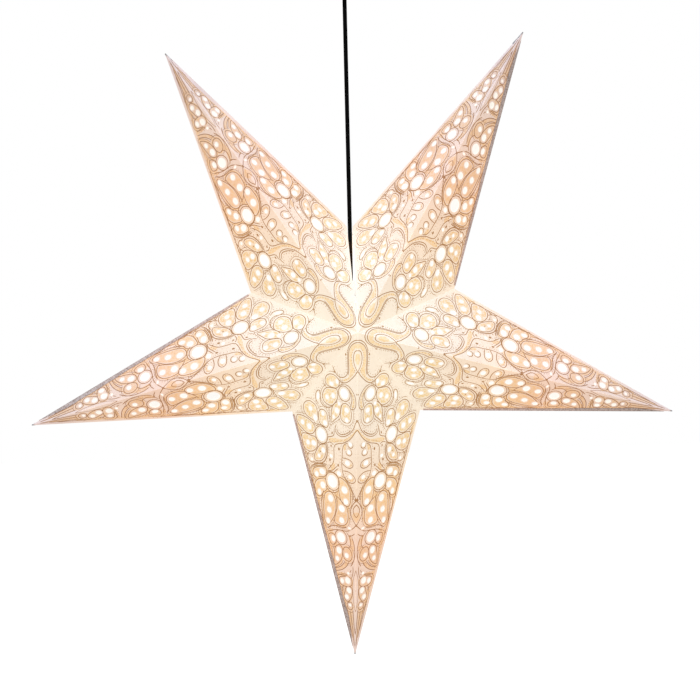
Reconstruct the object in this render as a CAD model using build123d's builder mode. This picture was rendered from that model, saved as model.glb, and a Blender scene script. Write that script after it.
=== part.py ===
"""Folded paper star lantern on a ceiling cord set: five points, twenty creased panels, one lamp."""
import os
from math import cos, radians, sin

from build123d import *

os.makedirs("parts", exist_ok=True)

# Frame: millimetres, +Z up, the star faces -Y, the origin is on the ceiling on the cord's axis.

# Star
TIP_RADIUS = 315.0
NOTCH_RADIUS = 101.0
HALF_DEPTH = 85.0
POINT_PITCH = 73.85
SEAM_HALF_GAP = 3.0
SEAM_NOTCH_HEIGHT = 92.0
PAPER = 0.4
CREASE_GAP = 1.0
PANEL_START = 12.5
HUB_TRIM = 8.0
TAB_WIDTH = 5.5
TAB_NOTCH_TRIM = 3.0
TAB_TIP_TRIM = 14.0
TIP_LENGTH = 11.4
TIP_HALF_WIDTH = 2.8
TIP_HALF_DEPTH = 3.0
TIP_END_SCALE = 0.12
TIE_RADIUS = 0.6
TIE_REACH = 9.0
TIE_DROP = 6.0
TIE_CORD_CLEARANCE = 0.8

# The small bevel or rounding on moulded edges
EDGE_BREAK = 1.0

# Cord and the drop from the ceiling to the middle of the star
CORD_RADIUS = 2.0
CORD_FIT = 0.05
HUB_DROP = 380.0
CORD_TOP_DROP = 7.0

# Height of the lamp's own zero level below the middle of the star
LAMP_DROP = 35.0

# Lampholder, heights above the lamp's zero level
CORD_IN_GRIP = 62.0
GRIP_TOP = 78.0
GRIP_SHOULDER = 64.0
GRIP_THREAD_LENGTH = 5.0
GRIP_THREAD_RADIUS = 4.9
GRIP_FLATS_RADIUS = 6.5
CAP_TOP = 64.0
HOLDER_SPLIT = 40.0
HOLDER_BOTTOM = 8.0
HOLDER_RADIUS = 14.5
HOLDER_WALL = 2.0
CAP_ROUNDING = 5.0
THREAD_CREST_RADIUS = 15.0
THREAD_PITCH = 3.0
INSERT_RADIUS = 12.4
INSERT_BOTTOM = 38.5
INSERT_TOP = 47.0
SHELL_RADIUS = 7.2
SHELL_WALL = 0.4
SHELL_BOTTOM = 14.0
SHELL_TOP = 38.4
COLLAR_INNER_RADIUS = 7.7
COLLAR_TOP = 18.0
TERMINAL_SPACING = 11.0
TERMINAL_SCREW_RADIUS = 1.5
TERMINAL_HEAD_RADIUS = 2.4
RING_BOTTOM = 18.0
RING_HEIGHT = 7.0
RING_RADIUS = 20.5
RING_CLEARANCE = 0.3
RING_KNURLS = 24

# Bulb, heights above the lamp's zero level
BULB_RADIUS = 22.5
BULB_CENTRE = -20.0
BULB_NECK_RADIUS = 6.5
BULB_NECK_BOTTOM = 8.0
BULB_NECK_TOP = 15.0
GLASS_WALL = 0.8
BULB_CAP_RADIUS = 7.0
BULB_CAP_BOTTOM = 9.5
BULB_CAP_TOP = 32.0
BULB_CAP_WALL = 0.4
BULB_THREAD_PITCH = 2.8
INSULATOR_TOP = 34.0
BULB_CONTACT_RADIUS = 2.4
BULB_CONTACT_TOP = 35.2
STEM_RADIUS = 3.2
STEM_TOP = 12.0
STEM_BOTTOM = -10.0
FILAMENT_RADIUS = 0.8
FILAMENT_LENGTH = 26.0
FILAMENT_RING = 6.0
FILAMENT_TOP = -6.0

# Ceiling fitting
BRACKET_LENGTH = 68.0
BRACKET_WIDTH = 16.0
BRACKET_THICKNESS = 2.0
BRACKET_HOLE_RADIUS = 2.25
BRACKET_HOLE_SPACING = 50.0
CLAMP_LENGTH = 18.0
CLAMP_WIDTH = 12.0
CLAMP_DEPTH = 12.0
CLAMP_SCREW_SPACING = 12.0
CLAMP_SCREW_RADIUS = 1.25
CLAMP_HEAD_RADIUS = 2.4
CLAMP_HEAD_HEIGHT = 1.6
TERMINAL_BLOCK_SIZE = (12.0, 20.0, 10.0)
TERMINAL_BLOCK_OFFSET = -19.0
CANOPY_RADIUS = 42.0
CANOPY_DEPTH = 44.0
CANOPY_WALL = 1.6
CANOPY_ROUNDING = 9.0
COLLAR_RADIUS = 7.0
COLLAR_LENGTH = 11.0
CANOPY_BORE_CLEARANCE = 0.3
GRUB_RADIUS = 1.5
GRUB_LENGTH = 6.0
GRUB_DROP = 5.5
GRUB_SLOT_WIDTH = 0.5
GRUB_SLOT_DEPTH = 0.8

HUB = Vector(0, 0, -HUB_DROP)
LAMP_LEVEL = -HUB_DROP - LAMP_DROP

# Each point's ridge direction, turned from straight up towards +X, in degrees.
POINTS = {
    "bottom": 180.0,
    "right": 180.0 - POINT_PITCH,
    "top_right": 180.0 - 2 * POINT_PITCH,
    "left": 180.0 + POINT_PITCH,
    "top_left": 180.0 + 2 * POINT_PITCH,
}
FACES = {"front": -1, "back": 1}
SIDES = {"cw": 1, "ccw": -1}
SEAM_SIDES = {("top_left", "cw"): -1, ("top_right", "ccw"): 1}


def save(piece, name):
    piece.part.label = name
    export_step(piece.part, f"parts/{name}.step")


def in_star(turn, radius, depth=0.0):
    """A place in the star: a radius along a direction turned from up, and a depth along Y."""
    return HUB + Vector(radius * sin(radians(turn)), depth, radius * cos(radians(turn)))


def corners(point, face, side):
    """Tip, hub and notch corners of one panel's flat triangle."""
    tip = in_star(POINTS[point], TIP_RADIUS)
    hub = HUB + Vector(0, FACES[face] * HALF_DEPTH, 0)
    if (point, side) in SEAM_SIDES:
        notch = HUB + Vector(SEAM_SIDES[point, side] * SEAM_HALF_GAP, 0, SEAM_NOTCH_HEIGHT)
    else:
        notch = in_star(POINTS[point] + SIDES[side] * POINT_PITCH / 2, NOTCH_RADIUS)
    return tip, hub, notch


def panel_plane(tip, hub, notch):
    """The panel's own plane: from the tip, x along the ridge, y towards the notch."""
    ridge = (hub - tip).normalized()
    return Plane(origin=tip, x_dir=ridge, z_dir=ridge.cross(notch - tip))


def panel(point, face, side):
    """One creased panel of a point, with the folded-over glue tab on each front clockwise panel."""
    tip, hub, notch = corners(point, face, side)
    flat = panel_plane(tip, hub, notch)
    ridge_length = (hub - tip).length
    notch_flat = flat.to_local_coords(notch)
    with BuildPart() as sheet:
        with BuildSketch(flat.offset(-PAPER / 2)):
            Polygon((0, 0), (ridge_length, 0), (notch_flat.X, notch_flat.Y), align=None)
            offset(amount=-CREASE_GAP, kind=Kind.INTERSECTION)
            Rectangle(2 * PANEL_START, 2 * NOTCH_RADIUS, mode=Mode.SUBTRACT)
            with Locations((ridge_length, 0)):
                Rectangle(2 * HUB_TRIM, 2 * NOTCH_RADIUS, mode=Mode.SUBTRACT)
        extrude(amount=PAPER)
        if face == "front" and side == "cw":
            outwards = -1 if flat.z_dir.Y > 0 else 1
            along = notch_flat.normalized()
            tab_end = notch_flat.length - TAB_NOTCH_TRIM
            tab = [
                (TAB_TIP_TRIM, CREASE_GAP),
                (tab_end, CREASE_GAP),
                (tab_end, TAB_WIDTH),
                (TAB_TIP_TRIM + TAB_WIDTH, TAB_WIDTH),
            ]
            outline = [(u * along.X + v * along.Y, u * along.Y - v * along.X) for u, v in tab]
            with BuildSketch(flat.offset(outwards * PAPER / 2)):
                Polygon(*outline, align=None)
            extrude(amount=outwards * PAPER)
    save(sheet, f"{point}_{face}_{side}")


def glued_tip(point):
    """The stiff end of a point, where the sheet's layers are glued together."""
    base = in_star(POINTS[point], TIP_RADIUS - TIP_LENGTH)
    outwards = in_star(POINTS[point], TIP_RADIUS) - base
    foot = Plane(origin=base, x_dir=(0, 1, 0), z_dir=outwards)
    diamond = [(TIP_HALF_DEPTH, 0), (0, TIP_HALF_WIDTH), (-TIP_HALF_DEPTH, 0), (0, -TIP_HALF_WIDTH)]
    with BuildPart() as tip:
        with BuildSketch(foot):
            Polygon(*diamond)
        with BuildSketch(foot.offset(TIP_LENGTH)):
            Polygon(*[(TIP_END_SCALE * x, TIP_END_SCALE * y) for x, y in diamond])
        loft()
    save(tip, f"{point}_tip")


def seam_tie(point, direction):
    """A cotton tie that runs from under the side fold beside the seam to the cord."""
    outer = HUB + Vector(direction * (SEAM_HALF_GAP + TIE_REACH), 0, SEAM_NOTCH_HEIGHT)
    inner = HUB + Vector(direction * (CORD_RADIUS + TIE_CORD_CLEARANCE), 0, SEAM_NOTCH_HEIGHT - TIE_DROP)
    with BuildPart() as tie:
        with BuildSketch(Plane(origin=outer, z_dir=inner - outer)):
            Circle(TIE_RADIUS)
        extrude(amount=(inner - outer).length)
    save(tie, f"{point}_tie")


def on_axis(height):
    """A place on the cord's axis, at a height above the lamp's zero level."""
    return Vector(0, 0, LAMP_LEVEL + height)


def level(height):
    """The level plane at a height above the lamp's zero level."""
    return Plane.XY.offset(LAMP_LEVEL + height)


for point in POINTS:
    glued_tip(point)
    for face in FACES:
        for side in SIDES:
            panel(point, face, side)

for (point, side), direction in SEAM_SIDES.items():
    seam_tie(point, direction)

# Cord: one straight stretch, pulled tight by the lantern's weight.
cord_length = HUB_DROP + LAMP_DROP - CORD_TOP_DROP - CORD_IN_GRIP
with BuildPart() as cord:
    with BuildSketch(Plane.XY.offset(-CORD_TOP_DROP)):
        Circle(CORD_RADIUS)
    extrude(amount=-cord_length)
save(cord, "cord")
print(f"cord: straight, no bends, {cord_length:.0f} mm long, volume {cord.part.volume:.0f} mm3")

# Lampholder
with BuildPart() as cord_grip:
    with BuildSketch(level(GRIP_SHOULDER)):
        RegularPolygon(GRIP_FLATS_RADIUS, 6)
    extrude(amount=GRIP_TOP - GRIP_SHOULDER)
    chamfer(cord_grip.faces().sort_by(Axis.Z)[-1].edges(), EDGE_BREAK)
    with BuildSketch(level(GRIP_SHOULDER)):
        Circle(GRIP_THREAD_RADIUS)
    extrude(amount=-GRIP_THREAD_LENGTH)
    with Locations(on_axis(GRIP_SHOULDER)):
        Hole(CORD_RADIUS + CORD_FIT)
save(cord_grip, "cord_grip")

with BuildPart() as holder_cap:
    with BuildSketch(level(HOLDER_SPLIT)):
        Circle(HOLDER_RADIUS)
    extrude(amount=CAP_TOP - HOLDER_SPLIT)
    fillet(holder_cap.faces().sort_by(Axis.Z)[-1].edges(), CAP_ROUNDING)
    with BuildSketch(level(HOLDER_SPLIT)):
        Circle(HOLDER_RADIUS - HOLDER_WALL)
    extrude(amount=CAP_TOP - HOLDER_SPLIT - 2 * HOLDER_WALL, mode=Mode.SUBTRACT)
    with Locations(on_axis(CAP_TOP)):
        Hole(GRIP_THREAD_RADIUS)
save(holder_cap, "holder_cap")

with BuildPart() as holder_sleeve:
    with BuildSketch(level(HOLDER_BOTTOM)):
        Circle(HOLDER_RADIUS)
    extrude(amount=HOLDER_SPLIT - HOLDER_BOTTOM)
    turns = int((HOLDER_SPLIT - HOLDER_BOTTOM) / THREAD_PITCH) - 1
    for turn in range(turns):
        with BuildSketch(level(HOLDER_BOTTOM + (turn + 0.5) * THREAD_PITCH)):
            Circle(THREAD_CREST_RADIUS)
        extrude(amount=THREAD_PITCH / 2)
    with BuildSketch(level(COLLAR_TOP)):
        Circle(HOLDER_RADIUS - HOLDER_WALL)
    extrude(amount=HOLDER_SPLIT - COLLAR_TOP, mode=Mode.SUBTRACT)
    with Locations(on_axis(HOLDER_BOTTOM)):
        Hole(COLLAR_INNER_RADIUS)
save(holder_sleeve, "holder_sleeve")

with BuildPart() as holder_insert:
    with BuildSketch(level(INSERT_BOTTOM)):
        Circle(INSERT_RADIUS)
    extrude(amount=INSERT_TOP - INSERT_BOTTOM)
    with BuildSketch(level(INSERT_TOP)):
        Rectangle(INSERT_RADIUS / 2, 2 * INSERT_RADIUS)
    extrude(amount=-HOLDER_WALL, mode=Mode.SUBTRACT)
    with Locations(on_axis(INSERT_TOP)):
        with GridLocations(TERMINAL_SPACING, 0, 2, 1):
            Hole(TERMINAL_SCREW_RADIUS)
save(holder_insert, "holder_insert")

with BuildPart() as terminal_screws:
    with BuildSketch(level(INSERT_BOTTOM)):
        with GridLocations(TERMINAL_SPACING, 0, 2, 1):
            Circle(TERMINAL_SCREW_RADIUS)
    extrude(amount=INSERT_TOP - INSERT_BOTTOM)
    with BuildSketch(level(INSERT_TOP)):
        with GridLocations(TERMINAL_SPACING, 0, 2, 1):
            Circle(TERMINAL_HEAD_RADIUS)
    extrude(amount=HOLDER_WALL)
save(terminal_screws, "terminal_screws")

with BuildPart() as socket_shell:
    with BuildSketch(level(SHELL_BOTTOM)):
        Circle(SHELL_RADIUS + SHELL_WALL)
        Circle(SHELL_RADIUS, mode=Mode.SUBTRACT)
    extrude(amount=SHELL_TOP - SHELL_BOTTOM)
save(socket_shell, "socket_shell")

with BuildPart() as centre_contact:
    with BuildSketch(level(INSERT_BOTTOM)):
        Rectangle(2 * BULB_CONTACT_RADIUS, BULB_CONTACT_RADIUS)
    extrude(amount=BULB_CONTACT_TOP - INSERT_BOTTOM + CORD_FIT)
save(centre_contact, "centre_contact")

with BuildPart() as shade_ring:
    with BuildSketch(level(RING_BOTTOM)):
        Circle(RING_RADIUS)
        with PolarLocations(RING_RADIUS, RING_KNURLS):
            Circle(HOLDER_WALL / 2, mode=Mode.SUBTRACT)
        Circle(THREAD_CREST_RADIUS + RING_CLEARANCE, mode=Mode.SUBTRACT)
    extrude(amount=RING_HEIGHT)
save(shade_ring, "shade_ring")

# Bulb
with BuildPart() as bulb_glass:
    with BuildSketch(Plane.XZ):
        with BuildLine():
            bottom = (0, LAMP_LEVEL + BULB_CENTRE - BULB_RADIUS)
            equator = (BULB_RADIUS, LAMP_LEVEL + BULB_CENTRE)
            neck = (BULB_NECK_RADIUS, LAMP_LEVEL + BULB_NECK_BOTTOM)
            rim = (BULB_NECK_RADIUS, LAMP_LEVEL + BULB_NECK_TOP)
            neck_axis = (0, LAMP_LEVEL + BULB_NECK_TOP)
            RadiusArc(bottom, equator, -BULB_RADIUS)
            Spline(equator, neck, tangents=[(0, 1), (0, 1)])
            Line(neck, rim)
            Line(rim, neck_axis)
            Line(neck_axis, bottom)
        make_face()
    revolve(axis=Axis.Z)
    mouth = bulb_glass.faces().filter_by(GeomType.PLANE).sort_by(Axis.Z)[-1]
    offset(amount=-GLASS_WALL, openings=mouth)
save(bulb_glass, "bulb_glass")

with BuildPart() as bulb_cap:
    with BuildSketch(level(BULB_CAP_BOTTOM)):
        Circle(BULB_CAP_RADIUS - BULB_CAP_WALL / 2)
    extrude(amount=BULB_CAP_TOP - BULB_CAP_BOTTOM)
    for turn in range(int((BULB_CAP_TOP - BULB_CAP_BOTTOM) / BULB_THREAD_PITCH) - 1):
        with BuildSketch(level(BULB_CAP_BOTTOM + (turn + 1) * BULB_THREAD_PITCH)):
            Circle(BULB_CAP_RADIUS)
        extrude(amount=BULB_THREAD_PITCH / 2)
    with BuildSketch(level(BULB_CAP_BOTTOM)):
        Circle(BULB_CAP_RADIUS - BULB_CAP_WALL)
    extrude(amount=BULB_CAP_TOP - BULB_CAP_BOTTOM - BULB_CAP_WALL, mode=Mode.SUBTRACT)
save(bulb_cap, "bulb_cap")

with BuildPart() as bulb_insulator:
    with BuildSketch(level(BULB_CAP_TOP)):
        Circle(BULB_CAP_RADIUS - BULB_CAP_WALL)
    with BuildSketch(level(INSULATOR_TOP)):
        Circle(BULB_CONTACT_RADIUS + BULB_CAP_WALL)
    loft()
save(bulb_insulator, "bulb_insulator")

with BuildPart() as bulb_contact:
    with BuildSketch(level(INSULATOR_TOP)):
        Circle(BULB_CONTACT_RADIUS)
    extrude(amount=BULB_CONTACT_TOP - INSULATOR_TOP)
    fillet(bulb_contact.faces().sort_by(Axis.Z)[-1].edges(), BULB_CAP_WALL)
save(bulb_contact, "bulb_contact")

with BuildPart() as bulb_stem:
    with BuildSketch(level(STEM_TOP)):
        Circle(STEM_RADIUS)
    extrude(amount=STEM_BOTTOM - STEM_TOP)
    fillet(bulb_stem.faces().sort_by(Axis.Z)[0].edges(), STEM_RADIUS / 2)
save(bulb_stem, "bulb_stem")

with BuildPart() as bulb_filaments:
    with BuildSketch(level(FILAMENT_TOP)):
        with PolarLocations(FILAMENT_RING, 4):
            Circle(FILAMENT_RADIUS)
    extrude(amount=-FILAMENT_LENGTH)
save(bulb_filaments, "bulb_filaments")

# Ceiling fitting
with BuildPart() as ceiling_bracket:
    with BuildSketch(Plane.XY):
        SlotOverall(BRACKET_LENGTH, BRACKET_WIDTH)
        with GridLocations(BRACKET_HOLE_SPACING, 0, 2, 1):
            Circle(BRACKET_HOLE_RADIUS, mode=Mode.SUBTRACT)
    extrude(amount=-BRACKET_THICKNESS)
save(ceiling_bracket, "ceiling_bracket")

with BuildPart() as cord_clamp:
    with BuildSketch(Plane.XY.offset(-BRACKET_THICKNESS)):
        RectangleRounded(CLAMP_LENGTH, CLAMP_WIDTH, CORD_RADIUS)
        with GridLocations(CLAMP_SCREW_SPACING, 0, 2, 1):
            Circle(CLAMP_SCREW_RADIUS, mode=Mode.SUBTRACT)
        Circle(CORD_RADIUS, mode=Mode.SUBTRACT)
    extrude(amount=-CLAMP_DEPTH)
save(cord_clamp, "cord_clamp")

with BuildPart() as clamp_screws:
    with BuildSketch(Plane.XY.offset(-BRACKET_THICKNESS)):
        with GridLocations(CLAMP_SCREW_SPACING, 0, 2, 1):
            Circle(CLAMP_SCREW_RADIUS)
    extrude(amount=-CLAMP_DEPTH)
    with BuildSketch(Plane.XY.offset(-BRACKET_THICKNESS - CLAMP_DEPTH)):
        with GridLocations(CLAMP_SCREW_SPACING, 0, 2, 1):
            Circle(CLAMP_HEAD_RADIUS)
    extrude(amount=-CLAMP_HEAD_HEIGHT)
save(clamp_screws, "clamp_screws")

block_x, block_y, block_z = TERMINAL_BLOCK_SIZE
with BuildPart() as terminal_block:
    with BuildSketch(Plane.XY.offset(-BRACKET_THICKNESS)):
        with Locations((TERMINAL_BLOCK_OFFSET, 0)):
            Rectangle(block_x, block_y)
    extrude(amount=-block_z)
    chamfer(terminal_block.edges().filter_by(Axis.Z), EDGE_BREAK)
    with Locations((TERMINAL_BLOCK_OFFSET, 0, -BRACKET_THICKNESS - block_z)):
        with GridLocations(block_x / 2, block_y / 3, 2, 3):
            Hole(CLAMP_SCREW_RADIUS, depth=block_z / 2)
save(terminal_block, "terminal_block")

collar_bottom = -CANOPY_DEPTH - COLLAR_LENGTH
grub_height = -CANOPY_DEPTH - GRUB_DROP
grub_start = CORD_RADIUS + CANOPY_BORE_CLEARANCE
with BuildPart() as canopy:
    with BuildSketch(Plane.XY.offset(-CANOPY_DEPTH)):
        Circle(CANOPY_RADIUS)
    extrude(amount=CANOPY_DEPTH)
    fillet(canopy.faces().sort_by(Axis.Z)[0].edges(), CANOPY_ROUNDING)
    offset(amount=-CANOPY_WALL, openings=canopy.faces().sort_by(Axis.Z)[-1])
    with BuildSketch(Plane.XY.offset(-CANOPY_DEPTH + CANOPY_WALL)):
        Circle(COLLAR_RADIUS)
    extrude(amount=-CANOPY_WALL - COLLAR_LENGTH)
    fillet(canopy.faces().sort_by(Axis.Z)[0].edges().sort_by(SortBy.RADIUS)[-1:], EDGE_BREAK)
    Hole(grub_start)
    with BuildSketch(Plane.YZ.offset(CORD_RADIUS)):
        with Locations((0, grub_height)):
            Circle(GRUB_RADIUS)
    extrude(amount=COLLAR_RADIUS, mode=Mode.SUBTRACT)
save(canopy, "canopy")

with BuildPart() as grub_screw:
    with BuildSketch(Plane.YZ.offset(grub_start)):
        with Locations((0, grub_height)):
            Circle(GRUB_RADIUS - CORD_FIT)
    extrude(amount=GRUB_LENGTH)
    with BuildSketch(Plane.YZ.offset(grub_start + GRUB_LENGTH)):
        with Locations((0, grub_height)):
            Rectangle(2 * GRUB_RADIUS, GRUB_SLOT_WIDTH)
    extrude(amount=-GRUB_SLOT_DEPTH, mode=Mode.SUBTRACT)
save(grub_screw, "grub_screw")
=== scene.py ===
import math

import bmesh
import bpy
from mathutils import Matrix, Vector
from mathutils.geometry import delaunay_2d_cdt


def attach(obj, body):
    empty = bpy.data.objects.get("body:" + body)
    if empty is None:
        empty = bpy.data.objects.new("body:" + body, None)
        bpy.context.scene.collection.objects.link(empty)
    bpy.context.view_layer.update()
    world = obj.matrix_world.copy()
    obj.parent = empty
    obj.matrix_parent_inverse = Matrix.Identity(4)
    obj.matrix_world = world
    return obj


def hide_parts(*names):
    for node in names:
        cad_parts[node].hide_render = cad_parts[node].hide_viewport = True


# Looks of the folded paper star lantern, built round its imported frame.
# Metres, +Z up, the star faces -Y, the origin is on the ceiling on the cord's axis.
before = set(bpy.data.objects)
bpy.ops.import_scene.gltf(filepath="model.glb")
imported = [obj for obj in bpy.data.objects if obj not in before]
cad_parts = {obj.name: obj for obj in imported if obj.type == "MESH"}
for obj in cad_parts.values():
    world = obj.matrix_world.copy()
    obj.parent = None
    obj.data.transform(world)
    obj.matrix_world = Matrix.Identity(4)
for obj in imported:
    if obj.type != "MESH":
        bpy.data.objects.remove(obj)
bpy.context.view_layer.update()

HUB = Vector((0, 0, -0.380))
TIP_RADIUS = 0.315
NOTCH_RADIUS = 0.101
HALF_DEPTH = 0.085
POINT_PITCH = 73.85
SEAM_HALF_GAP = 0.003
SEAM_NOTCH_HEIGHT = 0.092
SEAM_CORNER_LIFT = 0.002
# Bulb and glow centres, below the hub.
BULB_CENTRE = HUB + Vector((0, 0, -0.055))
GLOW_CENTRE = HUB + Vector((0, 0, -0.020))

# Each point's ridge direction, turned from straight up towards +X, in degrees.
POINTS = {
    "bottom": 180.0,
    "right": 180.0 - POINT_PITCH,
    "top_right": 180.0 - 2 * POINT_PITCH,
    "left": 180.0 + POINT_PITCH,
    "top_left": 180.0 + 2 * POINT_PITCH,
}
FACES = {"front": -1, "back": 1}
SIDES = {"cw": 1, "ccw": -1}
SEAM_SIDES = {("top_left", "cw"): -1, ("top_right", "ccw"): 1}

# Hand folding leaves each tip and notch a little off its true place, across and up.
TIP_LEAN = {
    "bottom": (-0.0045, 0.0020),
    "right": (0.0005, -0.0020),
    "top_right": (-0.0005, 0.0070),
    "left": (-0.0018, 0.0025),
    "top_left": (-0.0014, -0.0052),
}
NOTCH_LEAN = {
    ("bottom", "left"): (0.0022, 0.0015),
    ("bottom", "right"): (0.0018, -0.0006),
    ("left", "top_left"): (-0.0002, -0.0018),
    ("right", "top_right"): (0.0030, -0.0032),
}

# One panel as cut flat, in millimetres: u runs along the ridge from the hub, v out from the ridge.
RIDGE_LENGTH = 326.3
NOTCH_U = 100.1
NOTCH_V = 86.06
PAPER_THICKNESS = 0.00035

# The tissue behind each panel: its gap in metres, then its start, margin and ends on the flat sheet.
LINING_GAP = 0.0006
LINING_START = 1.8
LINING_MARGIN = 2.5
LINING_FROM = 6.0
LINING_SHORT_OF_TIP = 20.0
LINING_COLUMNS = 26
LINING_ROWS = 8

# Flowers: the die-cut holes as centre, half-lengths along and across the ridge.
HOLES = [
    # first flower, beside the hub loop
    (64.5, 16.8, 5.3, 5.4), (80.3, 13.3, 2.6, 2.8), (90.2, 13.3, 2.3, 2.4), (76.0, 23.3, 1.8, 2.0),
    (83.6, 26.0, 3.0, 2.9), (91.0, 30.3, 1.8, 1.4), (70.2, 31.3, 2.8, 2.5), (73.5, 39.3, 2.1, 2.4),
    (54.8, 26.5, 2.3, 1.9), (58.8, 33.8, 2.2, 2.9), (75.5, 51.6, 4.2, 1.7),
    # second flower, beside the notch
    (113.3, 46.2, 6.5, 6.2), (91.2, 44.6, 2.4, 2.2), (100.2, 41.6, 2.7, 3.0), (98.2, 54.8, 3.6, 3.0),
    (90.6, 61.5, 2.3, 2.5), (109.2, 62.8, 3.0, 3.1), (107.2, 72.0, 2.6, 2.4), (124.5, 56.5, 2.9, 3.4),
    (125.6, 64.4, 2.5, 2.5), (128.3, 43.6, 3.0, 2.8), (135.2, 49.3, 1.9, 1.9), (141.3, 59.0, 1.6, 1.8),
    # sprigs along the ridge
    (113.3, 8.3, 2.4, 2.4), (121.5, 10.0, 2.4, 2.5), (133.0, 11.8, 2.9, 3.6), (146.2, 8.2, 2.2, 2.6),
    (146.3, 22.5, 2.6, 3.2), (131.3, 32.8, 1.9, 2.2),
    # third flower
    (156.6, 31.0, 6.6, 6.8), (161.2, 15.2, 4.0, 4.4), (172.6, 13.3, 3.3, 3.5), (181.0, 18.5, 3.9, 4.4),
    (193.0, 18.5, 3.3, 3.6), (174.5, 33.4, 3.9, 3.8), (186.6, 35.2, 3.4, 3.4), (198.2, 36.8, 3.2, 2.9),
    (163.8, 44.0, 3.7, 3.7), (171.8, 48.6, 3.2, 2.6), (150.2, 44.8, 3.4, 4.4), (154.6, 52.3, 2.9, 2.7),
    # fourth flower and the end of the point
    (210.6, 19.3, 5.2, 5.6), (198.4, 8.5, 1.2, 2.2), (227.2, 11.8, 2.7, 2.9), (224.6, 22.0, 3.8, 3.8),
    (214.6, 29.6, 3.4, 3.0), (233.6, 24.2, 2.6, 2.6), (244.8, 9.5, 1.5, 2.0), (252.6, 10.3, 3.7, 3.8),
    (254.8, 17.6, 2.9, 2.7), (262.3, 8.5, 3.2, 3.2), (269.6, 11.2, 2.6, 2.8), (277.0, 7.0, 1.5, 1.9),
]

# Rings printed round the big holes: centre and half-lengths.
RINGS = [
    (64.5, 16.8, 7.5, 7.7), (113.3, 46.2, 8.6, 8.3), (156.6, 31.0, 8.9, 9.1), (210.6, 19.3, 7.3, 7.9),
]

# Petals: closed outlines, each filled with ochre inside its line.
PETALS = [
    [(76.2, 9.4), (80.5, 7.6), (86, 7.4), (90.5, 8.6), (93, 12), (93, 16.5), (91, 20.2), (86, 21.4),
     (80, 20.6), (75.6, 19), (73.8, 14.5)],
    [(73.6, 22.2), (77, 20.8), (83, 21.6), (88.5, 23.4), (93, 28), (97.4, 33.2), (91, 33.6), (85, 33.2),
     (80, 31.4), (76, 27.6)],
    [(62.6, 26.8), (67, 25.2), (72, 25.8), (77, 29), (80.4, 33), (80.6, 38.5), (78.6, 43.4), (74, 45.6),
     (68.4, 44.2), (64.2, 40), (62.8, 33)],
    [(51.6, 25.4), (55, 23.2), (59.4, 24.6), (61.8, 28), (62.0, 34), (61.4, 39.6), (58, 42.4),
     (53.2, 41.2), (49.8, 36.6), (49.2, 30.4)],
    [(87.6, 42.6), (90, 39.6), (95.6, 38), (101, 37.2), (104.4, 39.6), (104, 45), (101.6, 49),
     (96, 50.6), (90.6, 50), (87.8, 47)],
    [(84, 58.6), (86, 54.4), (91, 52.2), (97, 51.2), (101.4, 52.4), (101.6, 57), (100.2, 62.6),
     (98.4, 67.4), (94, 70.6), (88.6, 70.6), (84.6, 67), (83.2, 62.6)],
    [(101.4, 79), (100.6, 72), (101.8, 64), (104.6, 57.6), (108.5, 54.8), (113, 56), (116, 60),
     (116.4, 66), (113.8, 72), (110.4, 77.4), (106, 80)],
    [(117.6, 55), (121, 51.6), (126.6, 51.8), (131.4, 55.6), (134, 61), (133.6, 66.6), (130, 70.8),
     (124, 72.6), (118.6, 72.4), (117.2, 66), (117.8, 60)],
    [(121.8, 40.8), (126, 39.4), (132, 40.6), (137.4, 43.6), (140.6, 48.4), (141.0, 54.6), (137, 55.6),
     (131, 53), (125.6, 49.6), (122.6, 45.6)],
    [(150.8, 22.6), (150.8, 17.6), (153, 12.8), (157, 9.4), (162.4, 7.6), (168, 7.4), (173.6, 8.0),
     (177, 11), (176.6, 15.6), (173, 19.6), (167, 21.8), (160, 22.6)],
    [(170.6, 24.6), (174, 18.6), (176.8, 13.4), (181, 11), (187.6, 10.2), (193.4, 11.4), (197.4, 15.6),
     (198.6, 22), (197.0, 27.6), (191, 27.2), (183, 24.8), (176, 24.6)],
    [(167.8, 34), (170, 29.6), (175.6, 26.8), (182, 26.2), (189, 27.4), (195, 30.6), (202.4, 36.6),
     (199, 41), (192, 42.2), (184, 42.8), (176, 42.2), (170.4, 40)],
    [(156.8, 40.6), (157.6, 46), (160.4, 51.6), (165.6, 55.0), (172, 55.0), (176.4, 51), (175.4, 46.6),
     (171, 43.4), (166.2, 38.6)],
    [(145.2, 40.4), (145.6, 46), (147.4, 52), (151, 57), (155.6, 57.2), (158.4, 53.6), (156.2, 48.4),
     (154.6, 42), (150.6, 39)],
    [(219.4, 14.4), (219, 9.6), (222, 5.8), (227.6, 4.8), (232, 7.8), (232.2, 12.6), (229, 16),
     (223.6, 16.6)],
    [(218.8, 20.6), (222, 17.2), (228, 17.2), (234, 19.2), (238.6, 23.4), (240.6, 28.0), (234.6, 28.6),
     (227.6, 28.0), (221.6, 26.2)],
    [(209.6, 31), (211.6, 26.8), (216, 25.6), (219.6, 28), (221, 31.6), (217.6, 34.6), (212, 36)],
    [(248.6, 8.6), (251, 5.0), (256, 5.0), (258.6, 9.2), (259.4, 15), (258, 20.0), (253, 21.8),
     (250.4, 17.6)],
    [(258.4, 5.8), (263, 3.8), (269, 5.4), (273.6, 8.6), (273.6, 12.6), (270, 15), (264.6, 13.6),
     (260.2, 12.2)],
    [(273.8, 5.4), (278, 3.2), (281.6, 5.6), (280.6, 9.4), (276, 10.6)],
]

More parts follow.
